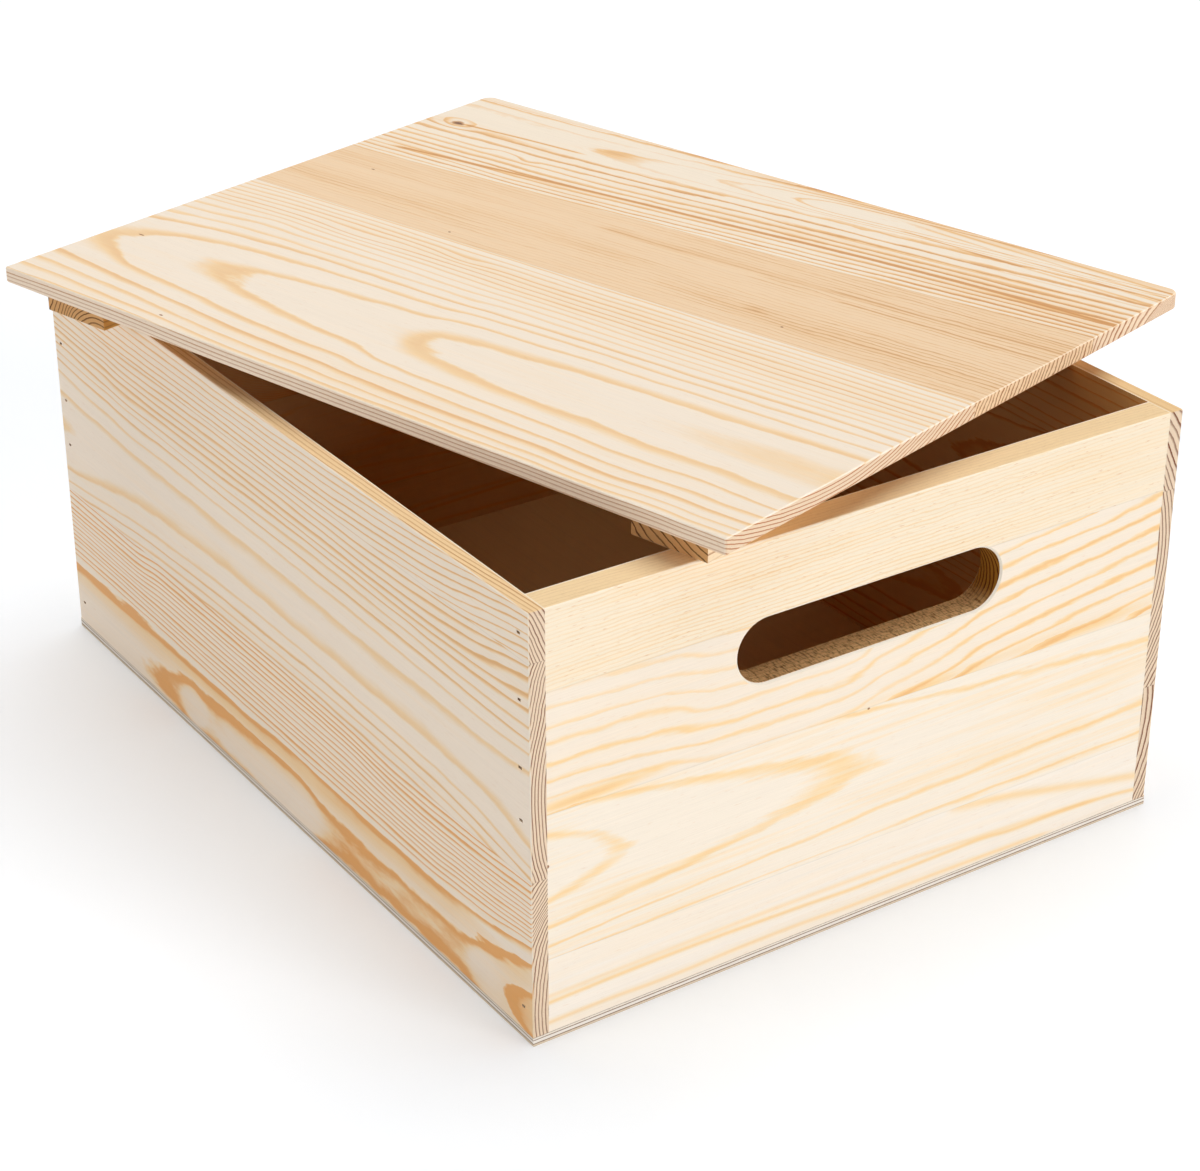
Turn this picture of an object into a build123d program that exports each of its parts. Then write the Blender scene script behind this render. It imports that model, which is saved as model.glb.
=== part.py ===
from build123d import *
import os

# Pine storage box with hand slots in its ends and a loose lid lying askew on its rim.
# Millimetres. X runs along the box, Y across it and Z up from the floor that it stands on.
# The origin is the middle of the underside. The left side faces -Y and the front end faces +X.

# Walls
box_length = 400.0
box_width = 310.0
rim_height = 185.0
side_thickness = 7.0
end_thickness = 13.0
wall_arris = 0.8

# Plywood bottom, flush with the outside of the walls
face_ply_thickness = 1.2
core_ply_thickness = 1.6

# Staves of the sides. The middle stave takes what the other two leave of the wall.
left_lower_stave = 69.0
left_upper_stave = 20.5
right_lower_stave = 55.0
right_upper_stave = 35.0

# Staves of the ends, at mid-width, where the broad stave takes what the others leave.
# A rise is how much higher the base stave's upper or the slot stave's lower glue line ends than it starts.
base_stave = 31.5
base_rise = -3.0
slot_stave = 53.5
slot_stave_rise = -5.0

# Hand slots. The rail stave's glue line lies just below the slot's upper edge.
slot_length = 127.0
slot_height = 27.5
slot_below_rim = 33.0
slot_ease = 0.8
rail_overlap = 1.0

# Flat brads through the sides into the ends, sunk below the face, with their heads along the grain.
# One holds the upper stave, three the middle stave, about its mid-height, and one the lower stave.
brad_width = 1.25
brad_thickness = 1.05
brad_length = 25.0
brad_tip = 2.0
brad_head_width = 2.0
brad_head_height = 0.9
brad_sink = 1.2
brad_clearance = 0.05
brad_below_rim = 10.3
brads_about_middle = (28.8, 0.7, -21.6)
brad_above_bottom = 10.9

# Lid, a little smaller than the box, with plank widths at mid-length. The left plank takes what is left.
lid_setback = 2.5
lid_thickness = 7.0
lid_arris = 0.8
lid_left_corner = 1.0
lid_right_corner = 5.0
left_joint_rise = 7.5
middle_plank = 73.0
right_joint_rise = 30.0
right_plank = 82.5

# Battens, which drop between the walls with some play when the lid is on
batten_width = 36.0
batten_thickness = 12.0
batten_play = 5.0
batten_arris = 0.8

# Where the lid lies: turned about the upright axis and shifted from the middle of the box
lid_turn = 15.4
lid_shift_x = -9.0
lid_shift_y = 8.0

# Sizes that follow from those above
bottom_thickness = 2 * face_ply_thickness + core_ply_thickness
wall_height = rim_height - bottom_thickness
inner_width = box_width - 2 * side_thickness
slot_top = rim_height - slot_below_rim
lid_length = box_length - 2 * lid_setback
lid_width = box_width - 2 * lid_setback
batten_length = inner_width - 2 * batten_play
batten_spread = box_length - 2 * (end_thickness + batten_play) - batten_width
standing = (Align.CENTER, Align.CENTER, Align.MIN)
hanging = (Align.CENTER, Align.CENTER, Align.MAX)


def glue_up(panel, joints):
    """The staves of a panel, cut at planes whose normals point from each stave to the next."""
    staves = []
    for joint in joints:
        staves.append(split(panel, bisect_by=joint, keep=Keep.BOTTOM).solid())
        panel = split(panel, bisect_by=joint, keep=Keep.TOP).solid()
    return staves + [panel]


def level_joint(height, rise=0.0, run=1.0):
    """A glue line across a wall at a height, which climbs by rise over a run along Y."""
    return Plane(origin=(0, 0, height), z_dir=(0, -rise, run))


def brad_form(growth, mouth):
    """A brad along +Z from its head at the origin. Grown and given a mouth, it is the brad's hole."""
    head = brad_head_width / 2 + growth
    shank = brad_width / 2 + growth
    neck = brad_head_height + growth
    shoulder = brad_length - brad_tip
    half = [(head, -mouth), (head, neck), (shank, neck), (shank, shoulder)]
    other_half = [(-x, z) for x, z in reversed(half)]
    outline = Polyline(*half, (0, brad_length + growth), *other_half, close=True)
    return extrude(Plane.XZ * make_face(outline), brad_thickness / 2 + growth, both=True)


def brad_heights(lower, upper):
    """The heights of the brads in a side whose lower and upper staves have these widths."""
    middle = (bottom_thickness + lower + rim_height - upper) / 2
    inner_heights = [middle + offset for offset in brads_about_middle]
    return [rim_height - brad_below_rim] + inner_heights + [bottom_thickness + brad_above_bottom]


def corner_brads(end_facing, side_facing, heights, form):
    """One form at each brad's place in a corner, pointing from the side's face into the end panel."""
    x = end_facing * (box_length - end_thickness) / 2
    y = side_facing * (box_width / 2 - brad_sink)
    inward = Rot(X=90 * side_facing)
    return [Pos(x, y, z) * inward * form for z in heights]


def side_panel(facing, brad_holes):
    """A side that runs the whole length of the box, with its outer arrises eased."""
    panel = Box(box_length, side_thickness, wall_height, align=standing)
    panel = Pos(0, facing * (box_width - side_thickness) / 2, bottom_thickness) * panel
    outer_face = panel.faces().sort_by(Axis.Y)[-1 if facing > 0 else 0]
    top_face = panel.faces().sort_by(Axis.Z)[-1]
    eased = outer_face.edges().sort_by(Axis.Z)[1:] + top_face.edges().filter_by(Axis.Y)
    return fillet(eased, wall_arris) - brad_holes


def end_panel(facing, brad_holes):
    """An end that stands between the sides, with its hand slot and the slot's eased mouths."""
    panel = Box(end_thickness, inner_width, wall_height, align=standing)
    middle_x = facing * (box_length - end_thickness) / 2
    panel = Pos(middle_x, 0, bottom_thickness) * panel
    outer_face = panel.faces().sort_by(Axis.X)[-1 if facing > 0 else 0]
    panel = fillet(outer_face.edges().sort_by(Axis.Z)[-1:], wall_arris)
    slot = extrude(Plane.YZ * SlotOverall(slot_length, slot_height), end_thickness, both=True)
    panel -= Pos(middle_x, 0, slot_top - slot_height / 2) * slot
    walls = panel.faces().sort_by(Axis.X)
    mouths = [edge for wall in (walls[0], walls[-1]) for edge in wall.inner_wires()[0].edges()]
    return chamfer(mouths, slot_ease) - brad_holes


def side_staves(facing, lower, upper, brad_holes):
    """The lower, middle and upper staves of a side."""
    joints = [level_joint(bottom_thickness + lower), level_joint(rim_height - upper)]
    return glue_up(side_panel(facing, brad_holes), joints)


def end_staves(facing, brad_holes):
    """The base, broad, slot and rail staves of an end. Both ends are the same panel, turned about."""
    rail_joint = slot_top - rail_overlap
    joints = [
        level_joint(bottom_thickness + base_stave, facing * base_rise, inner_width),
        level_joint(rail_joint - slot_stave, facing * slot_stave_rise, inner_width),
        level_joint(rail_joint),
    ]
    return glue_up(end_panel(facing, brad_holes), joints)


def lid_planks():
    """The left, middle and right planks of the lid, around its middle, with its underside at Z = 0."""
    panel = Box(lid_length, lid_width, lid_thickness, align=standing)
    uprights = panel.edges().filter_by(Axis.Z).sort_by(Axis.Y)
    panel = fillet(uprights[2:], lid_right_corner)
    uprights = panel.edges().filter_by(Axis.Z).sort_by(Axis.Y)
    panel = fillet(uprights[:2], lid_left_corner)
    rims = panel.faces().filter_by(Axis.Z).edges()
    panel = fillet(rims, lid_arris)
    right_joint = lid_width / 2 - right_plank
    left_joint = right_joint - middle_plank
    joints = [
        Plane(origin=(0, left_joint, 0), z_dir=(-left_joint_rise, lid_length, 0)),
        Plane(origin=(0, right_joint, 0), z_dir=(-right_joint_rise, lid_length, 0)),
    ]
    return glue_up(panel, joints)


def lid_batten(facing):
    """A cross batten under the lid near one end, with the arrises of its underside eased."""
    batten = Box(batten_width, batten_length, batten_thickness, align=hanging)
    batten = fillet(batten.faces().sort_by(Axis.Z)[0].edges(), batten_arris)
    return Pos(facing * batten_spread / 2, 0, 0) * batten


def bottom_ply(underside, thickness):
    """One layer of the plywood bottom."""
    return Pos(0, 0, underside) * Box(box_length, box_width, thickness, align=standing)


nodes = {
    "bottom_lower_ply": bottom_ply(0, face_ply_thickness),
    "bottom_core_ply": bottom_ply(face_ply_thickness, core_ply_thickness),
    "bottom_upper_ply": bottom_ply(face_ply_thickness + core_ply_thickness, face_ply_thickness),
}

ends = {"front": 1, "back": -1}
sides = {"left": (-1, left_lower_stave, left_upper_stave), "right": (1, right_lower_stave, right_upper_stave)}
brad = brad_form(0.0, 0.0)
brad_hole = brad_form(brad_clearance, brad_sink)
holes = []
for end_name, end_facing in ends.items():
    for side_name, (side_facing, lower, upper) in sides.items():
        heights = brad_heights(lower, upper)
        group = corner_brads(end_facing, side_facing, heights, brad)
        nodes[f"{end_name}_{side_name}_brads"] = Compound([one.solid() for one in group])
        holes += corner_brads(end_facing, side_facing, heights, brad_hole)

for side_name, (side_facing, lower, upper) in sides.items():
    staves = side_staves(side_facing, lower, upper, holes)
    for stave_name, stave in zip(("lower", "middle", "upper"), staves):
        nodes[f"{side_name}_side_{stave_name}_stave"] = stave

for end_name, end_facing in ends.items():
    for stave_name, stave in zip(("base", "broad", "slot", "rail"), end_staves(end_facing, holes)):
        nodes[f"{end_name}_end_{stave_name}_stave"] = stave

lid_place = Pos(lid_shift_x, lid_shift_y, rim_height + batten_thickness) * Rot(Z=lid_turn)
for plank_name, plank in zip(("left", "middle", "right"), lid_planks()):
    nodes[f"lid_{plank_name}_plank"] = lid_place * plank
for end_name, end_facing in ends.items():
    nodes[f"lid_{end_name}_batten"] = lid_place * lid_batten(end_facing)

os.makedirs("parts", exist_ok=True)
for name, shape in nodes.items():
    shape.label = name
    export_step(shape, f"parts/{name}.step")
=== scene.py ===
import math
from dataclasses import dataclass, field, replace

import bpy
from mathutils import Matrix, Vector

# Looks of a pine storage box with hand slots and a loose lid that lies askew on its rim.
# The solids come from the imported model. This file adds wood that is cut through all of each board,
# so that the growth rings on a face run on into its edges and end grain, and the studio round the box.
# Lengths in the boards' tables are millimetres, and everything that Blender gets is metres.

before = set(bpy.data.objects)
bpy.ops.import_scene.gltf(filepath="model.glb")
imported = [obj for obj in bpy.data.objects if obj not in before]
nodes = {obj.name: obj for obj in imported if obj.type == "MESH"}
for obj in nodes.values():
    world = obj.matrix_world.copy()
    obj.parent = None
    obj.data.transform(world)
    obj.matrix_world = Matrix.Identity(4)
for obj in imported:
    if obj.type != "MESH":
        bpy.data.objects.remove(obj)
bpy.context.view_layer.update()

MM = 0.001

# The boards' sizes and places, as in the model
BOX_LENGTH = 400.0
BOX_WIDTH = 310.0
SIDE_THICKNESS = 7.0
END_THICKNESS = 13.0
LID_THICKNESS = 7.0
LID_TURN = math.radians(15.4)
LID_TOP = Vector((-9.0, 8.0, 204.0))
BATTEN_REACH = 164.0

# Heights of the plywood's two glue lines and of its top, where a dark line is painted shade of the gap above
# it, and of a band that takes in the hand slots
PLY_LINES = (1.2, 2.8, 4.0)
SLOT_SPAN = (120.0, 156.0)

# Glue lines between the staves and planks, as (place across at the middle, slope along the board)
LID_LEFT_JOINT = (-3.0, 0.019)
LID_RIGHT_JOINT = (70.0, 0.076)
LEFT_LOWER_JOINT = (73.0, 0.0)
LEFT_UPPER_JOINT = (164.5, 0.0)
RIGHT_LOWER_JOINT = (59.0, 0.0)
RIGHT_UPPER_JOINT = (150.0, 0.0)
BASE_JOINT = (35.5, -0.01)
SLOT_JOINT = (97.5, -0.017)
RAIL_JOINT = (151.0, 0.0)

# Tones as they look on a screen, from 0 to 255
# A painted highlight on rounded arrises and on the strip of each edge next to the inner face
ARRIS_HIGHLIGHT_TONE = (250, 240, 222)
FLECK_TONE = (218, 162, 100)
PORE_TONE = (158, 122, 92)
SAW_TONE = (190, 150, 110)
TORN_TONE = (124, 84, 46)
KNOT_RIM_TONE = (190, 140, 92)
KNOT_HEART_TONE = (104, 76, 60)
SPECK_TONE = (146, 94, 58)
PLY_WEAR_TONE = (176, 148, 120)
# Dark lines on the plywood's edge: glue lines, and painted shade of the gap at its top
PLY_GLUE_AND_GAP_SHADE_TONE = (132, 100, 76)

# Tints that a tone is multiplied by: painted shade on the inner faces, which makes them deeper than the
# outer ones, and where the hand slots are milled, browner milled wood deepened by painted shade, along
# the grain and across it
INNER_SHADE_TINT = (0.86, 0.57, 0.26, 1.0)
MILLED_AND_SHADE_TINT = (1.0, 0.8, 0.5, 1.0)
MILLED_END_AND_SHADE_TINT = (0.56, 0.31, 0.06, 1.0)

# Camera: the turn and height of the view, the point in the middle of the picture, and the lens
VIEW_TURN = math.radians(56.25)
VIEW_HEIGHT = math.radians(27.73)
VIEW_DISTANCE = 1.2941
VIEW_POINT = Vector((0.0, 0.0087, 0.0608))
SENSOR_WIDTH = 36.0
FOCAL_PIXELS = 2912.0
IMAGE_WIDTH = 1200.0
CLIP_NEAR = 0.05
CLIP_FAR = 60.0

# Studio: a pale floor that fills the picture, an even sky, and broad lamps as (strength, spread, from)
FLOOR_REACH = 12.0
FLOOR_TONE = (0.838, 0.862, 0.892, 1.0)
FLOOR_GLOW = 0.2
WHITE = (1.0, 1.0, 1.0, 1.0)
SKY = 0.22
LAMPS = {
    "overhead": (2.02, 60.0, Vector((-0.15, 0.2, 1.0))),
    "front": (2.09, 24.0, Vector((0.89, 0.42, 0.11))),
    "left": (0.95, 40.0, Vector((-0.2, -0.96, 0.2))),
}


class Value:
    """A number that a material works out at each point, written with ordinary arithmetic."""

    def __init__(self, tree, socket):
        self.tree = tree
        self.socket = socket

    def maths(self, operation, *others):
        made = self.tree.nodes.new("ShaderNodeMath")
        made.operation = operation
        for place, value in zip(made.inputs, (self, *others)):
            plug(self.tree, place, value)
        return Value(self.tree, made.outputs[0])

    def __add__(self, other):
        return self.maths("ADD", other)

    def __sub__(self, other):
        return self.maths("SUBTRACT", other)

    def __rsub__(self, other):
        return (self * -1.0) + other

    def __mul__(self, other):
        return self.maths("MULTIPLY", other)

    def __truediv__(self, other):
        return self.maths("DIVIDE", other)

    def __pow__(self, other):
        return self.maths("POWER", other)

    def root(self):
        return self.maths("SQRT")

    def size(self):
        return self.maths("ABSOLUTE")

    def whole(self):
        return self.maths("FLOOR")

    def largest(self, other):
        return self.maths("MAXIMUM", other)

    def smallest(self, other):
        return self.maths("MINIMUM", other)

    def bell(self):
        """1 where the value is 0, falling away smoothly on both sides."""
        return (self * -1.0).maths("EXPONENT")

    def climb(self, low, high):
        """0 below low and 1 above high, with a smooth climb between them."""
        made = self.tree.nodes.new("ShaderNodeMapRange")
        made.interpolation_type = "SMOOTHSTEP"
        for name, value in (("Value", self), ("From Min", low), ("From Max", high)):
            plug(self.tree, made.inputs[name], value)
        return Value(self.tree, made.outputs["Result"])


def plug(tree, place, value):
    """Sets an input to a number or colour, or links it to a worked-out value."""
    if isinstance(value, Value):
        tree.links.new(value.socket, place)
    elif isinstance(value, bpy.types.NodeSocket):
        tree.links.new(value, place)
    else:
        place.default_value = value


def colour(red, green, blue):
    """A colour as it looks on a screen, from 0 to 255, turned into the linear numbers that shaders use."""
    shares = [part / 255.0 for part in (red, green, blue)]
    linear = [part / 12.92 if part <= 0.04045 else ((part + 0.055) / 1.055) ** 2.4 for part in shares]
    return (*linear, 1.0)


def blended(tree, share, first, second, mode="MIX"):
    """Two colours mixed by a share."""
    made = tree.nodes.new("ShaderNodeMix")
    made.data_type = "RGBA"
    made.blend_type = mode
    made.clamp_factor = True
    plug(tree, made.inputs[0], share)
    plug(tree, made.inputs[6], first)
    plug(tree, made.inputs[7], second)
    return made.outputs[2]


def shaded(tree, tone, shade):
    """A colour made lighter or darker by a factor."""
    made = tree.nodes.new("ShaderNodeVectorMath")
    made.operation = "SCALE"
    tree.links.new(tone, made.inputs[0])
    plug(tree, made.inputs["Scale"], shade)
    return made.outputs[0]


def ramp(tree, share, stops):
    """A colour picked by a share from stops of (share, colour)."""
    made = tree.nodes.new("ShaderNodeValToRGB")
    plug(tree, made.inputs[0], share)
    elements = made.color_ramp.elements
    while len(elements) < len(stops):
        elements.new(1.0)
    for element, (position, tone) in zip(elements, stops):
        element.position = position
        element.color = colour(*tone)
    return made.outputs[0]


def profile(value, points):
    """A smooth curve through points of (place, height), read at the value's place."""
    places = [place for place, height in points]
    heights = [height for place, height in points]
    span = max(places) - min(places)
    rise = max(max(heights) - min(heights), 1e-6)
    made = value.tree.nodes.new("ShaderNodeFloatCurve")
    curve = made.mapping.curves[0]
    while len(curve.points) < len(points):
        curve.points.new(0.5, 0.5)
    for point, (place, height) in zip(curve.points, points):
        point.location = ((place - min(places)) / span, (height - min(heights)) / rise)
        point.handle_type = "AUTO_CLAMPED"
    made.mapping.update()
    plug(value.tree, made.inputs["Value"], (value - min(places)) / span)
    return Value(value.tree, made.outputs[0]) * rise + min(heights)


def new_material(name):
    """A material, with its node tree and its main shader."""
    material = bpy.data.materials.new(name)
    material.use_nodes = True
    return material, material.node_tree, material.node_tree.nodes["Principled BSDF"]


def dress(node, material):
    """Gives all of a node's faces one material."""
    mesh = nodes[node].data
    mesh.materials.clear()
    mesh.materials.append(material)


def level(height):
    """A curve of a cut that stays at one height along the board, unless the cut says otherwise."""
    return field(default_factory=lambda: [(-BOX_LENGTH / 2, height), (BOX_LENGTH / 2, height)])


@dataclass
class Cut:
    """How a board was cut from its tree, and what its wood looks like.

    Along is the direction of the grain and across the direction over the board's face, both from the middle
    of the box or lid. The rings are circles round a pith that lies behind the face, or before it where the
    heart side is out. Near the centre line they make long arches. Beyond the edge of that zone, where count
    rings have passed, they run on as lines at an even spacing.
    """
    # The centre line as points of (along, across), and the rings counted on it as points of (along, rings):
    # an arch has its tip where that count is a whole number
    centre: list
    tips: list = level(0)
    edge: float = 10.0
    count: float = 1.0
    spacing: float = 4.5
    crowding: float = 0.0
    pith: float = 120.0
    heart_out: bool = False
    # Lines moved across the board: a shift as points of (along, shift), from none at one place across
    # to all of it at another
    bends: list = field(default_factory=list)
    # Rings pushed out or in at a place, as (along, across, length, width, rings). A knot has a dark core too.
    bumps: list = field(default_factory=list)
    knots: list = field(default_factory=list)
    # Unrest, in rings: a broad sway, a drift of the even lines, short waves and frayed edges
    sway: float = 0.08
    drift: float = 0.2
    wave: float = 0.05
    fray: float = 0.03
    # Late wood: its share of a ring, how its tone falls off inwards, its soft outer edge, and whether that
    # edge lies on the ring's inner side
    late: float = 0.35
    fading: float = 1.3
    soft: float = 0.06
    inner_edge: bool = False
    # How much of the late wood shows, how much more of it in the even lines, and how that changes along
    strength: float = 0.9
    flank: float = 1.0
    fade: list = level(1)
    # Warm bands along the grain with their width, and fine flecks
    bands: float = 0.06
    band_width: float = 2.6
    flecks: float = 0.5
    # Warm patches as (along, across, length, width, amount), lines as (points, width, amount), and dark
    # specks as (along, across, length, width)
    patches: list = field(default_factory=list)
    tracks: list = field(default_factory=list)
    specks: list = field(default_factory=list)
    # Tones of the face, from early wood to the darkest late wood
    early: tuple = (243, 228, 209)
    honey: tuple = (241, 207, 160)
    tan: tuple = (226, 174, 114)
    # Tones of the edges along the grain, with the strength of their lines, and of the end grain, with the
    # share of a ring from which it darkens
    edge_early: tuple = (241, 219, 192)
    edge_late: tuple = (176, 124, 80)
    edge_lines: float = 1.0
    end_early: tuple = (232, 208, 181)
    end_late: tuple = (112, 54, 20)
    end_from: float = 0.5
    # Glue lines at its borders, the span across that is milled, how far below lies its inner face, and
    # where its noise starts
    joints: list = field(default_factory=list)
    milled: tuple = (0.0, 0.0)
    thickness: float = SIDE_THICKNESS
    seed: float = 0.0


class Board:
    """The places inside a board: along the grain, across its face and below its face, in millimetres.

    The order says which axis runs along, across and through the board, once the axes are turned about the
    upright. The sign is 1 where the axis through the board points inwards from its outer face, or else -1.
    """

    def __init__(self, tree, place, turn, order, below_sign):
        self.tree = tree
        coordinates = tree.nodes.new("ShaderNodeTexCoord")
        mapping = tree.nodes.new("ShaderNodeMapping")
        mapping.vector_type = "TEXTURE"
        mapping.inputs["Location"].default_value = [part * MM for part in place]
        mapping.inputs["Rotation"].default_value = (0.0, 0.0, turn)
        mapping.inputs["Scale"].default_value = (MM, MM, MM)
        tree.links.new(coordinates.outputs["Object"], mapping.inputs["Vector"])
        parts = tree.nodes.new("ShaderNodeSeparateXYZ")
        tree.links.new(mapping.outputs["Vector"], parts.inputs[0])
        self.along, self.across, deep = (Value(tree, parts.outputs[axis]) for axis in order)
        self.below = deep * below_sign
        axes = (
            Vector((math.cos(turn), math.sin(turn), 0.0)),
            Vector((-math.sin(turn), math.cos(turn), 0.0)),
            Vector((0.0, 0.0, 1.0)),
        )
        # 1 on sawn edges and ends, on the rounding between those and the faces, and on ends alone
        flat = self.facing(coordinates, axes[order[2]])
        self.sawn = 1.0 - flat.climb(0.3, 0.6)
        self.arris = flat.climb(0.5, 0.65) * (1.0 - flat.climb(0.85, 0.97))
        self.endness = self.facing(coordinates, axes[order[0]]).climb(0.3, 0.9)

    def facing(self, coordinates, axis):
        """1 on faces that look straight along an axis, either way, and less on the others."""
        dot = self.tree.nodes.new("ShaderNodeVectorMath")
        dot.operation = "DOT_PRODUCT"
        dot.inputs[1].default_value = axis
        self.tree.links.new(coordinates.outputs["Normal"], dot.inputs[0])
        return Value(self.tree, dot.outputs["Value"]).size()

    def cloud(self, length, width, seed, detail=2.0):
        """Soft noise from about -1 to 1, in patches of a length along the grain and a width across it."""
        point = self.tree.nodes.new("ShaderNodeCombineXYZ")
        plug(self.tree, point.inputs[0], self.along / length + seed)
        plug(self.tree, point.inputs[1], self.across / width + seed * 1.7)
        plug(self.tree, point.inputs[2], self.below / width + seed * 0.6)
        noise = self.tree.nodes.new("ShaderNodeTexNoise")
        noise.inputs["Scale"].default_value = 1.0
        noise.inputs["Detail"].default_value = detail
        noise.inputs["Roughness"].default_value = 0.55
        self.tree.links.new(point.outputs[0], noise.inputs["Vector"])
        return (Value(self.tree, noise.outputs[0]) - 0.5) * 4.0

    def spot(self, along, across, length, width):
        """1 at a place on the face, falling away over a length along the grain and a width across it."""
        return (((self.along - along) / length) ** 2.0 + ((self.across - across) / width) ** 2.0).bell()

    def track(self, points, width, end_run=12.0):
        """1 on a line through points of (along, across), falling away over a width and a run at its ends."""
        first, last = points[0][0], points[-1][0]
        ends = self.along.climb(first, first + end_run) * (1.0 - self.along.climb(last - end_run, last))
        return (((self.across - profile(self.along, points)) / width) ** 2.0).bell() * ends

    def between(self, low, high):
        """1 between two places across the board."""
        return self.across.climb(low, low + 1.0) * (1.0 - self.across.climb(high - 1.0, high))

    def inner_face(self, thickness):
        """1 on the inner face of a board with this thickness."""
        return self.below.climb(thickness - 0.7, thickness - 0.3)


def chance(tree, value, seed):
    """A steady number from 0 to 1 for each whole value."""
    noise = tree.nodes.new("ShaderNodeTexWhiteNoise")
    noise.noise_dimensions = "1D"
    plug(tree, noise.inputs["W"], value + seed)
    return Value(tree, noise.outputs[0])


def growth(board, cut):
    """The number of rings from the pith to each point of a board, and 1 where they are even lines."""
    across = board.across
    for low, high, shifts in cut.bends:
        across = across - board.across.climb(low, high) * profile(board.along, shifts)
    offset = across - profile(board.along, cut.centre)
    lean = 2.0 * cut.pith if cut.heart_out else -2.0 * cut.pith
    square = offset ** 2.0 + board.below * lean + board.below ** 2.0
    zone = cut.edge ** 2
    start = profile(board.along, cut.tips)
    rings = start + (cut.count - start) * square.smallest(zone) / zone
    beyond = square.largest(zone).root() - cut.edge
    rings += beyond / cut.spacing + beyond ** 2.0 * cut.crowding
    even = offset.size().climb(cut.edge * 0.2, cut.edge * 0.9)
    rings += board.cloud(75.0, 22.0, cut.seed + 3.1) * cut.sway
    rings += board.cloud(120.0, 9.0, cut.seed + 4.6) * even * cut.drift
    rings += board.cloud(16.0, 7.0, cut.seed + 9.4) * cut.wave
    rings += board.cloud(5.0, 1.2, cut.seed + 21.7) * cut.fray
    for *place, turns in cut.bumps + cut.knots:
        rings += board.spot(*place) * turns
    return rings, even


class Grain:
    """What each point of a board is made of: its share of a ring, late wood, fibres, pores and saw marks."""

    def __init__(self, board, cut):
        rings, even = growth(board, cut)
        ring = rings.whole()
        share = rings - ring
        self.share = 1.0 - share if cut.inner_edge else share
        self.tone = chance(board.tree, ring, cut.seed)
        flank = even * (cut.flank - 1.0)
        width = (self.tone * 0.5 + 0.75) * (flank * 0.8 + 1.0) * cut.late
        late = self.share.climb(1.0 - width, 1.0 - cut.soft) ** cut.fading
        late = late * (1.0 - self.share.climb(1.0 - cut.soft, 1.0))
        self.late = late * (chance(board.tree, ring, cut.seed + 31.0) * 0.5 + 0.75) * (flank + 1.0)
        self.fibre = board.cloud(26.0, 0.45, cut.seed + 5.0, 3.0)
        self.streak = board.cloud(70.0, cut.band_width, cut.seed + 7.0)
        self.pores = board.cloud(1.2, 0.5, cut.seed + 13.0)
        self.saw = board.cloud(1.6, 0.6, cut.seed + 15.0)

    def line(self, start, full):
        """1 in the late part of each ring, climbing from a start to a full share and gone before its end."""
        return self.share.climb(start, full) * (1.0 - self.share.climb(0.95, 1.0))


def face_wood(board, grain, cut):
    """The tone of a planed face, with its late wood, warm bands, patches, lines and flecks."""
    tree = board.tree
    blush = board.cloud(150.0, 18.0, cut.seed + 1.0)
    warm = grain.late * profile(board.along, cut.fade) * cut.strength + (blush + grain.streak) * cut.bands
    for *place, amount in cut.patches:
        warm += board.spot(*place) * (grain.share * 0.7 + 0.3) * amount
    for points, width, amount in cut.tracks:
        warm += board.track(points, width) * amount
    stops = [(0.0, cut.early), (0.45, cut.honey), (1.0, cut.tan)]
    face = ramp(tree, warm.largest(0.0).smallest(1.0), stops)
    fleck = board.cloud(5.0, 0.6, cut.seed + 17.0).climb(0.55, 1.0) * cut.flecks
    return blended(tree, fleck * 0.35, face, colour(*FLECK_TONE))


def edge_wood(board, grain, cut, slot):
    """The tone of a sawn edge along the grain, rough and brown in a hand slot, the brown partly milled wood
    and partly painted shade.
    """
    tree = board.tree
    line = grain.line(0.55, 0.88) * (grain.tone * 0.5 + 0.5) * cut.edge_lines
    edge = blended(tree, line, colour(*cut.edge_early), colour(*cut.edge_late))
    edge = blended(tree, grain.saw.climb(0.1, 1.3) * 0.25, edge, colour(*SAW_TONE))
    # Milled wood made browner in the slot, partly painted shade of the recess
    edge = blended(tree, slot, edge, MILLED_AND_SHADE_TINT, "MULTIPLY")
    torn = board.cloud(0.9, 3.2, cut.seed + 19.0) + grain.saw * 0.4
    return blended(tree, slot * torn.climb(-0.3, 0.9) * 0.8, edge, colour(*TORN_TONE))


def end_wood(board, grain, cut, slot):
    """The tone of end grain, with dark late wood and pores, and browner in a hand slot, partly milled wood
    and partly painted shade.
    """
    tree = board.tree
    dark = grain.line(cut.end_from, 0.85) * (grain.tone * 0.3 + 0.7)
    end = blended(tree, dark, colour(*cut.end_early), colour(*cut.end_late))
    end = blended(tree, grain.pores.climb(0.4, 1.4) * 0.4, end, colour(*PORE_TONE))
    # Milled end grain made darker in the slot, partly painted shade of the recess
    return blended(tree, slot, end, MILLED_END_AND_SHADE_TINT, "MULTIPLY")


def marked(board, cut, wood):
    """Wood with its knots and specks."""
    tree = board.tree
    for along, across, length, width, _ in cut.knots:
        core = board.spot(along, across, length * 0.5, width * 0.5)
        core = core + board.cloud(7.0, 3.0, cut.seed + 25.0) * 0.3
        wood = blended(tree, core.climb(0.3, 0.7), wood, colour(*KNOT_RIM_TONE))
        wood = blended(tree, core.climb(0.65, 1.0), wood, colour(*KNOT_HEART_TONE))
    for place in cut.specks:
        wood = blended(tree, board.spot(*place).climb(0.3, 0.7), wood, colour(*SPECK_TONE))
    return wood


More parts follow.
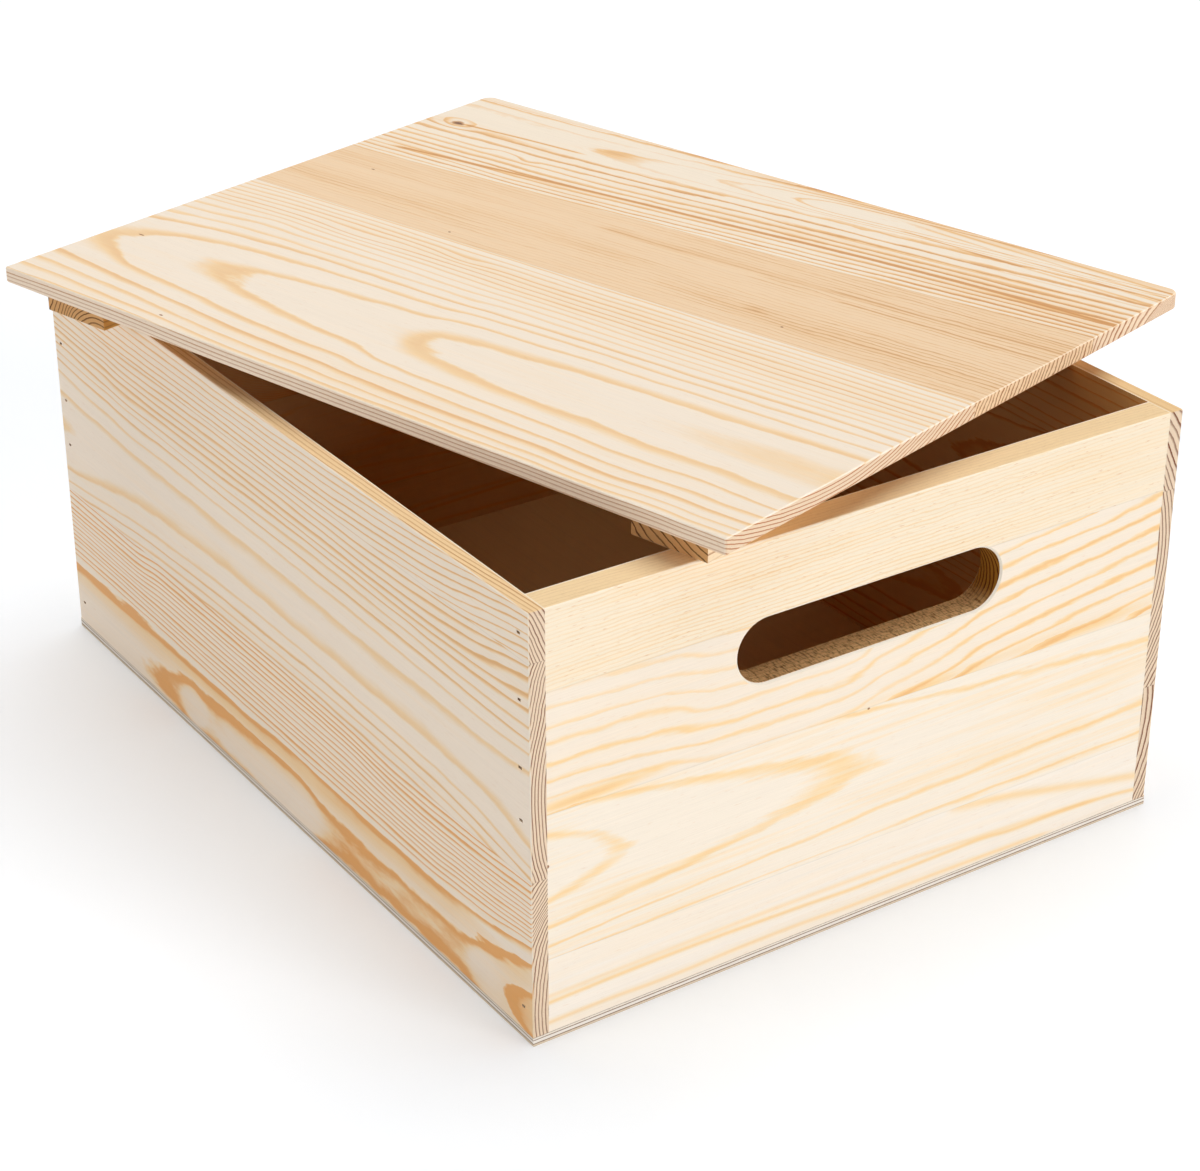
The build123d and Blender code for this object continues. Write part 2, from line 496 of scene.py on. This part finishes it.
def pine(name, cut, place, turn, order, below_sign):
    """Pine sawn as the cut says, with its rings worked out in the depth of the board."""
    material, tree, shader = new_material(name)
    board = Board(tree, place, turn, order, below_sign)
    grain = Grain(board, cut)

    slot = board.between(*cut.milled)
    inner = board.inner_face(cut.thickness)
    # Painted shade: the inner faces, the lid's underside among them, are made deeper and warmer
    face = blended(tree, inner, face_wood(board, grain, cut), INNER_SHADE_TINT, "MULTIPLY")
    # Painted highlight along the strip of each edge next to the inner face
    edge = blended(tree, inner * 0.7, edge_wood(board, grain, cut, slot), colour(*ARRIS_HIGHLIGHT_TONE))
    sawn = blended(tree, board.endness, edge, end_wood(board, grain, cut, slot))
    wood = blended(tree, board.sawn, face, sawn)
    # Painted highlight on the rounded arrises, stronger round the hand slots
    wood = blended(tree, board.arris * (slot * 0.5 + 0.4), wood, colour(*ARRIS_HIGHLIGHT_TONE))
    wood = marked(board, cut, wood)

    shade = grain.fibre * 0.03 + grain.streak * 0.015 + 1.0
    for middle, slope in cut.joints:
        away = (board.across - board.along * slope - middle).size()
        shade = shade - (1.0 - away.climb(0.1, 0.4)) * 0.08
    plug(tree, shader.inputs["Base Color"], shaded(tree, wood, shade))

    roughness = grain.fibre * 0.05 - grain.late * 0.08 + board.sawn * 0.15 + 0.6
    plug(tree, shader.inputs["Roughness"], roughness)
    plug(tree, shader.inputs["Specular IOR Level"], 0.3 - board.sawn * 0.24)
    bump = tree.nodes.new("ShaderNodeBump")
    bump.inputs["Strength"].default_value = 0.35
    bump.inputs["Distance"].default_value = 0.12 * MM
    relief = grain.fibre * 0.5 + grain.late * 0.6 + (grain.pores + grain.saw) * board.sawn * 0.5
    plug(tree, bump.inputs["Height"], relief)
    plug(tree, shader.inputs["Normal"], bump.outputs[0])
    return material


# Boards of the lid. Along runs to the front end and across to the right side.
LID_CUTS = {
    "left": Cut(
        centre=[(-200, -98), (-125, -94), (0, -93), (200, -89)],
        tips=[(-200, 3.25), (-181, 3.0), (-150, 2.36), (-114, 2.0), (-24, 1.5), (0, 1.0), (200, 0.22)],
        edge=60.0, count=8.2, spacing=4.0, pith=137.0, heart_out=True,
        bends=[
            (-83, -173, [(-200, 0), (-25, -7.9), (200, -10.6)]),
            (-95, -110, [(-200, 0), (-130, 0.4), (-64, -1.2), (-25, -0.4), (30, 0), (60, 0.3), (92, 0.4),
                         (131, -0.8), (161, 0.3), (181, -0.4), (200, -0.4)]),
        ],
        bumps=[(-55, -18, 14, 5, 0.6), (-110, -28, 22, 6, 0.5), (-150, -40, 16, 7, -0.4)],
        sway=0.1, wave=0.035, fray=0.015,
        late=0.5, soft=0.1, inner_edge=True, strength=0.6,
        patches=[(0, -146, 260, 16, 0.2), (0, -20, 260, 12, 0.25)],
        specks=[(-182, -89, 2.0, 0.5), (-106, -145, 1.2, 0.6)],
        tan=(224, 172, 118), edge_early=(248, 227, 204), edge_late=(194, 142, 96),
        end_early=(232, 206, 176), end_late=(178, 98, 40), end_from=0.6,
        joints=[LID_LEFT_JOINT], thickness=LID_THICKNESS, seed=2.0,
    ),
    "middle": Cut(
        centre=[(-200, -98), (200, -82)], tips=[(-200, 0.0), (200, 0.3)],
        edge=20.0, count=2.0, spacing=2.7, pith=70.0, heart_out=True,
        sway=0.5, wave=0.2, fray=0.08,
        late=0.6, soft=0.2, strength=0.45, fade=[(-200, 0.8), (0, 1.0), (200, 1.6)],
        bands=0.3, band_width=1.1,
        patches=[(76, 20, 6, 3, 0.7)],
        tracks=[
            ([(-212, 30), (-47, 42), (60, 50)], 2.5, -0.35),
            ([(-40, 50), (60, 55), (212, 68)], 5.0, 0.3),
            ([(90, 49), (150, 51), (212, 53)], 0.8, 0.7),
            ([(80, 56), (150, 60), (212, 64)], 0.8, 0.5),
            ([(-60, 42), (-20, 44), (30, 47)], 0.7, 0.4),
        ],
        specks=[(-165, 38, 1.2, 0.5), (-82, 2, 0.8, 0.6), (95, 12, 0.8, 0.6)],
        early=(238, 207, 170), honey=(231, 193, 148), tan=(208, 158, 106),
        end_early=(238, 206, 168), end_late=(150, 88, 42),
        joints=[LID_LEFT_JOINT, LID_RIGHT_JOINT], thickness=LID_THICKNESS, seed=11.0,
    ),
    "right": Cut(
        centre=[(-200, 122), (-111, 125), (-37, 131), (6, 135.5), (45, 139), (200, 152)],
        tips=[(-200, 3.3), (-111, 3.0), (-37, 2.0), (6, 1.0), (45, 0.0), (200, 0.3)],
        edge=12.0, count=3.6, spacing=11.0, crowding=0.0018, pith=45.0,
        bumps=[(-135, 94, 8, 3, 0.5), (-118, 93, 6, 3, -0.4)],
        knots=[(-181, 112, 10.0, 6.0, -1.4)],
        sway=0.1, wave=0.07,
        late=0.44, fading=1.1, soft=0.12, strength=0.56, flank=1.5,
        fade=[(-200, 0.8), (0, 1.0), (200, 1.1)],
        bands=0.13, band_width=1.3,
        patches=[
            (160, 98, 120, 20, 0.45), (-110, 144, 120, 9, -0.9), (150, 142, 80, 12, -0.45),
            (20, 123, 190, 8, -0.5), (-92, 128, 22, 5, 0.5),
        ],
        tracks=[
            ([(-184, 112), (-160, 114), (-135, 116), (-100, 118)], 0.8, 0.9),
            ([(-185, 68), (-100, 78), (0, 88.5), (109, 99), (212, 103)], 1.1, 1.0),
            ([(40, 108), (110, 113), (212, 122)], 0.8, 0.45),
            ([(70, 118), (140, 122), (212, 127)], 0.8, 0.3),
            ([(60, 134), (130, 131.5), (212, 131)], 0.9, 0.45),
            ([(60, 143), (130, 139), (212, 135)], 0.9, 0.45),
            ([(70, 147), (140, 144), (212, 141)], 0.9, 0.45),
            ([(100, 150), (150, 148.5), (212, 146)], 0.9, 0.45),
            ([(-212, 147), (-60, 149), (212, 150)], 6.0, 0.35),
        ],
        early=(243, 228, 207), honey=(236, 193, 138), tan=(206, 148, 88),
        end_early=(240, 214, 184), end_late=(160, 92, 44),
        joints=[LID_RIGHT_JOINT], thickness=LID_THICKNESS, seed=23.0,
    ),
}

# Battens. Along runs across the lid, and across from the batten's own middle to the front end.
# They get no painted shade on an inner face, so it is put deeper than the wood goes.
BATTEN_TRAITS = {
    "early": (232, 196, 146), "honey": (222, 176, 120), "tan": (196, 142, 86), "thickness": 100.0,
}
BATTEN_CUTS = {
    "front": Cut(
        centre=[(-160, 50), (160, 54)], spacing=4.6, pith=60.0, heart_out=True,
        edge_early=(240, 218, 184), end_early=(208, 160, 106), end_late=(78, 44, 20), end_from=0.68,
        seed=79.0, **BATTEN_TRAITS,
    ),
    "back": Cut(
        centre=[(-160, 14), (160, 10)], edge=8.0, spacing=3.4, pith=22.0,
        # Its edge is deep golden, partly the wood's own tone and partly painted warm shade under the lid
        edge_early=(230, 176, 98), end_early=(212, 164, 110), end_late=(82, 48, 24), end_from=0.6,
        seed=97.0, **BATTEN_TRAITS,
    ),
}

# Staves of the sides. Along runs to the front end and across upwards.
LEFT_EARLY = (243, 226, 206)
SIDE_CUTS = {
    "left_lower": Cut(
        centre=[(-200, 13), (200, 13)],
        tips=[(-200, 1.15), (-137, 1.0), (-87, 0.76), (-25, 0.55), (12, 0.34), (40, 0.69), (65, 0.78),
              (137, 0.8), (162, 0.51), (180, 0.0), (200, -0.55)],
        edge=24.0, count=2.05, spacing=2.75, pith=75.0,
        bends=[
            (42, 62, [(-200, -3), (-140, -3), (-100, 0), (50, 0.5), (110, -1.5), (200, 0)]),
            (18, 50, [(-200, 0), (100, 0), (150, 2), (200, 8)]),
            (44, 68, [(-200, 0), (100, 0), (150, -1.5), (200, -6)]),
        ],
        bumps=[(-80, 14, 9, 9, -0.5)],
        sway=0.05, drift=0.35, fray=0.025,
        late=0.37, fading=1.8, soft=0.1, strength=0.72, flank=1.8,
        patches=[
            (-110, 29, 150, 8, 0.6), (80, 30, 140, 8, 0.68), (195, 14, 16, 13, 0.9), (185, 14, 8, 7, 0.35),
            (-110, 9, 22, 6, 0.5), (62, 12, 20, 8, 0.7), (120, 7, 45, 4, 0.6),
        ],
        tracks=[([(-212, 35), (-60, 36.5), (0, 36.5), (212, 36.5)], 2.0, -0.3)],
        early=LEFT_EARLY, tan=(229, 165, 95), joints=[LEFT_LOWER_JOINT], seed=31.0,
    ),
    "left_middle": Cut(
        centre=[(-200, 106), (0, 109.5), (200, 107)],
        tips=[(-200, -0.1), (-150, 0.25), (-100, 0.5), (0, 0.56), (100, 0.56), (160, 0.5), (200, 0.2)],
        edge=40.0, count=6.4, spacing=3.4, pith=95.0,
        bends=[
            (118, 140, [(-200, 6), (-150, 2.5), (-100, 0), (200, 0)]),
            (132, 165, [(-200, 0), (60, 0), (120, 2), (200, 11)]),
            (104, 84, [(-200, -7), (-100, -3), (25, 0), (110, -0.5), (200, -6)]),
        ],
        sway=0.07, drift=0.28, wave=0.035, fray=0.015,
        late=0.34, fading=1.0, soft=0.12, strength=0.52, flank=1.7,
        early=LEFT_EARLY, joints=[LEFT_LOWER_JOINT, LEFT_UPPER_JOINT], seed=37.0,
    ),
    "left_upper": Cut(
        centre=[(-200, 118), (60, 119), (200, 132)], spacing=3.2, pith=100.0, heart_out=True,
        sway=0.1, late=0.44, soft=0.14, strength=0.95,
        # Its rim is golden, partly the wood's own tone and partly painted warm shade under the lid
        early=LEFT_EARLY, edge_early=(240, 206, 158), edge_late=(192, 140, 90),
        joints=[LEFT_UPPER_JOINT], seed=41.0,
    ),
    "right_lower": Cut(
        centre=[(-200, 52), (200, 50)], tips=[(-200, 0.0), (200, 1.2)],
        edge=30.0, count=3.0, spacing=4.4, pith=90.0, joints=[RIGHT_LOWER_JOINT], seed=43.0,
    ),
    "right_middle": Cut(
        centre=[(-200, 118), (200, 122)], tips=[(-200, 0.5), (0, 1.6), (200, 0.2)],
        edge=36.0, count=4.0, spacing=4.6, pith=95.0,
        joints=[RIGHT_LOWER_JOINT, RIGHT_UPPER_JOINT], seed=47.0,
    ),
    "right_upper": Cut(
        centre=[(-200, 95), (200, 93)], spacing=6.2, pith=150.0,
        # Its rim is golden, partly the wood's own tone and partly painted warm shade under the lid
        edge_early=(238, 202, 150), edge_lines=0.3, joints=[RIGHT_UPPER_JOINT], seed=53.0,
    ),
}

# Staves of the ends. Along runs to the right side of the front end and across upwards.
END_TONES = {"honey": (246, 214, 164), "tan": (242, 194, 132)}
END_CUTS = {
    "base": Cut(
        centre=[(-155, -60), (0, -61), (55, -63), (155, -66)], spacing=13.0, pith=60.0,
        soft=0.3, strength=0.06, bands=0.03,
        tracks=[
            ([(-170, 17), (-100, 18), (-35, 16.5), (10, 15), (57, 15), (82, 13.3), (105, 13), (170, 6)],
             1.0, 0.5),
            ([(-170, 20), (-100, 20.5), (0, 19.5), (60, 16.5), (130, 12)], 1.2, 0.3),
            ([(40, 36), (70, 32), (110, 24), (170, 12)], 2.0, 0.4),
            ([(-170, 7), (-125, 8.6), (-95, 7.8), (-49, 8.4), (-5, 7.2), (45, 6.4), (105, 4.8)], 1.0, 0.34),
        ],
        early=(245, 234, 220), joints=[BASE_JOINT], thickness=END_THICKNESS, seed=59.0, **END_TONES,
    ),
    "broad": Cut(
        centre=[(-155, 77), (-10, 72.5), (155, 67)],
        tips=[(-155, 0.3), (-148, 0.4), (-105, 1.0), (16, 2.0), (148, 2.56), (155, 2.6)],
        edge=60.0, count=8.0, spacing=6.0,
        sway=0.06, wave=0.04, fray=0.015,
        late=0.34, soft=0.14, strength=0.42, flank=1.3, bands=0.2, band_width=2.0,
        specks=[(-148, 78, 0.9, 0.9), (0, 97, 0.7, 0.5)],
        early=(244, 231, 213), joints=[BASE_JOINT, SLOT_JOINT], thickness=END_THICKNESS, seed=61.0,
        **END_TONES,
    ),
    "slot": Cut(
        centre=[(-155, 38), (-100, 35), (-60, 29), (-20, 29), (10, 35), (40, 41), (60, 47), (95, 51),
                (155, 59)],
        spacing=7.6, pith=250.0,
        sway=0.2, wave=0.08,
        late=0.4, soft=0.25, strength=0.6, fade=[(-155, 0.7), (0, 0.6), (60, 1.1), (155, 1.2)], bands=0.04,
        patches=[(-132, 102.5, 26, 2.4, 1.3), (30, 97.5, 26, 3.0, 0.8), (110, 99, 45, 3.0, 0.8)],
        honey=(246, 212, 160), tan=(240, 188, 124), edge_lines=0.35,
        joints=[SLOT_JOINT, RAIL_JOINT], milled=SLOT_SPAN, thickness=END_THICKNESS, seed=67.0,
    ),
    "rail": Cut(
        centre=[(-155, 40), (155, 46)], spacing=1.7,
        sway=0.5, wave=0.25, fray=0.1,
        late=0.6, soft=0.3, strength=0.34, fade=[(-155, 0.6), (-40, 1.2), (60, 1.0), (155, 0.3)],
        bands=0.1, flecks=1.8,
        # Its top edge is golden, partly the wood's own tone and partly painted warm shade under the lid
        early=(245, 228, 202), honey=(240, 208, 160), edge_early=(242, 212, 166), edge_lines=0.2,
        joints=[RAIL_JOINT], milled=SLOT_SPAN, thickness=END_THICKNESS, seed=71.0,
    ),
}

# Both ends are the same panel, turned about, so the back end differs in its noise alone
BACK_END_SEED = 200.0

# Which axes run along, across and through a board that lies flat or stands upright, with its grain
# along the box or across it
FLAT_ALONG = (0, 1, 2)
FLAT_ACROSS = (1, 0, 2)
UPRIGHT_ALONG = (0, 2, 1)
UPRIGHT_ACROSS = (1, 2, 0)

for plank, cut in LID_CUTS.items():
    dress(f"lid_{plank}_plank", pine(f"lid_{plank}_plank_pine", cut, LID_TOP, LID_TURN, FLAT_ALONG, -1.0))
for end, facing in (("front", 1.0), ("back", -1.0)):
    reach = Vector((math.cos(LID_TURN), math.sin(LID_TURN), 0.0)) * facing * BATTEN_REACH
    place = LID_TOP + reach - Vector((0.0, 0.0, LID_THICKNESS))
    material = pine(f"{end}_batten_pine", BATTEN_CUTS[end], place, LID_TURN, FLAT_ACROSS, -1.0)
    dress(f"lid_{end}_batten", material)
for side, facing in (("left", -1.0), ("right", 1.0)):
    place = (0.0, facing * BOX_WIDTH / 2, 0.0)
    for stave in ("lower", "middle", "upper"):
        cut = SIDE_CUTS[f"{side}_{stave}"]
        material = pine(f"{side}_{stave}_pine", cut, place, 0.0, UPRIGHT_ALONG, -facing)
        dress(f"{side}_side_{stave}_stave", material)
for end, facing, turn in (("front", 1.0, 0.0), ("back", -1.0, math.pi)):
    place = (facing * BOX_LENGTH / 2, 0.0, 0.0)
    for stave, cut in END_CUTS.items():
        own = cut if end == "front" else replace(cut, seed=cut.seed + BACK_END_SEED)
        dress(f"{end}_end_{stave}_stave", pine(f"{end}_{stave}_pine", own, place, turn, UPRIGHT_ACROSS, -1.0))


# Veneers of the plywood's two lower plies, and of its upper one, which painted shade makes as deep as the
# box's inner faces
PALE_VENEER = {"early": (232, 212, 184), "honey": (220, 192, 154), "tan": (200, 164, 124)}
SHADED_UPPER_VENEER = {"early": (224, 178, 112), "honey": (214, 166, 100), "tan": (198, 148, 84)}

# Each ply's veneer, the tone of its edge, and its axes
PLIES = {
    "lower": (PALE_VENEER, (222, 204, 180), FLAT_ALONG),
    "core": (PALE_VENEER, (240, 232, 222), FLAT_ACROSS),
    "upper": (SHADED_UPPER_VENEER, (238, 228, 214), FLAT_ALONG),
}


def plywood(name, veneer, edge_tone, order):
    """A ply of the bottom: plain veneer on its face, and on its edge a pale layer between dark glue lines and
    a line of painted shade of the gap at the plywood's top.
    """
    cut = Cut(
        centre=[(-200, -40), (200, -36)], tips=[(-200, 0.0), (200, 0.4)], edge=60.0, count=5.0, spacing=9.0,
        pith=400.0, strength=0.15, seed=83.0, **veneer,
    )
    middle = (0.0, 0.0, 0.0)
    material = pine(name, cut, middle, 0.0, order, 1.0)
    tree = material.node_tree
    board = Board(tree, middle, 0.0, order, 1.0)
    wear = board.cloud(14.0, 0.8, 5.0)
    layer = blended(tree, wear.climb(0.2, 1.4) * 0.5, colour(*edge_tone), colour(*PLY_WEAR_TONE))
    # Dark lines at the glue lines, and at the plywood's top a line of painted shade
    for height in PLY_LINES:
        away = (board.below + wear * 0.06 - height).size()
        layer = blended(tree, 1.0 - away.climb(0.08, 0.3), layer, colour(*PLY_GLUE_AND_GAP_SHADE_TONE))
    tone = tree.nodes["Principled BSDF"].inputs["Base Color"]
    face = tone.links[0].from_socket
    plug(tree, tone, blended(tree, board.sawn, face, layer))
    return material


for ply, (veneer, edge_tone, order) in PLIES.items():
    dress(f"bottom_{ply}_ply", plywood(f"{ply}_ply_wood", veneer, edge_tone, order))


def brad_steel():
    """Steel darkened as painted shade of the holes the brads sit in, with a little tarnish."""
    material, tree, shader = new_material("brad_steel")
    coordinates = tree.nodes.new("ShaderNodeTexCoord")
    noise = tree.nodes.new("ShaderNodeTexNoise")
    noise.inputs["Scale"].default_value = 1400.0
    tree.links.new(coordinates.outputs["Object"], noise.inputs["Vector"])
    tarnish = Value(tree, noise.outputs[0])
    # Near-black tones: the steel's own colour deepened as painted shade of the brad holes
    stops = [(0.3, (22, 15, 10)), (0.7, (46, 38, 32))]
    plug(tree, shader.inputs["Base Color"], ramp(tree, tarnish, stops))
    plug(tree, shader.inputs["Roughness"], tarnish * 0.3 + 0.35)
    shader.inputs["Metallic"].default_value = 1.0
    return material


steel = brad_steel()
for end in ("front", "back"):
    for side in ("left", "right"):
        dress(f"{end}_{side}_brads", steel)


def seen_rays(tree):
    """1 for what the camera sees, straight or by gloss or glass, and 0 for light on its way elsewhere."""
    path = tree.nodes.new("ShaderNodeLightPath")
    names = ("Is Camera Ray", "Is Glossy Ray", "Is Transmission Ray")
    straight, gloss, glass = (Value(tree, path.outputs[name]) for name in names)
    return straight.largest(gloss).largest(glass)


def make_floor():
    mesh = bpy.data.meshes.new("floor")
    corners = [(-FLOOR_REACH, -FLOOR_REACH, 0), (FLOOR_REACH, -FLOOR_REACH, 0),
               (FLOOR_REACH, FLOOR_REACH, 0), (-FLOOR_REACH, FLOOR_REACH, 0)]
    mesh.from_pydata(corners, [], [(0, 1, 2, 3)])
    floor = bpy.data.objects.new("floor", mesh)
    bpy.context.scene.collection.objects.link(floor)
    material, tree, shader = new_material("pale_floor")
    shader.inputs["Base Color"].default_value = FLOOR_TONE
    shader.inputs["Roughness"].default_value = 0.9
    shader.inputs["Specular IOR Level"].default_value = 0.0
    shader.inputs["Emission Color"].default_value = WHITE
    plug(tree, shader.inputs["Emission Strength"], seen_rays(tree) * FLOOR_GLOW)
    mesh.materials.append(material)


def make_light():
    world = bpy.data.worlds.new("studio")
    bpy.context.scene.world = world
    world.use_nodes = True
    tree = world.node_tree
    background = tree.nodes["Background"]
    background.inputs["Color"].default_value = WHITE
    plug(tree, background.inputs["Strength"], seen_rays(tree) * (1.0 - SKY) + SKY)
    for name, (strength, spread, source) in LAMPS.items():
        lamp = bpy.data.lights.new(name, "SUN")
        lamp.energy = strength
        lamp.angle = math.radians(spread)
        light = bpy.data.objects.new(name, lamp)
        light.rotation_mode = "QUATERNION"
        light.rotation_quaternion = source.to_track_quat("Z", "Y")
        bpy.context.scene.collection.objects.link(light)


def make_camera():
    camera = bpy.data.cameras.new("camera")
    camera.sensor_width = SENSOR_WIDTH
    camera.lens = FOCAL_PIXELS / IMAGE_WIDTH * SENSOR_WIDTH
    camera.clip_start = CLIP_NEAR
    camera.clip_end = CLIP_FAR
    view = bpy.data.objects.new("camera", camera)
    back = Vector((
        math.sin(VIEW_TURN) * math.cos(VIEW_HEIGHT),
        -math.cos(VIEW_TURN) * math.cos(VIEW_HEIGHT),
        math.sin(VIEW_HEIGHT),
    ))
    view.location = VIEW_POINT + back * VIEW_DISTANCE
    view.rotation_mode = "QUATERNION"
    view.rotation_quaternion = back.to_track_quat("Z", "Y")
    bpy.context.scene.collection.objects.link(view)
    bpy.context.scene.camera = view


make_floor()
make_light()
make_camera()
bpy.context.scene.view_settings.view_transform = "Standard"
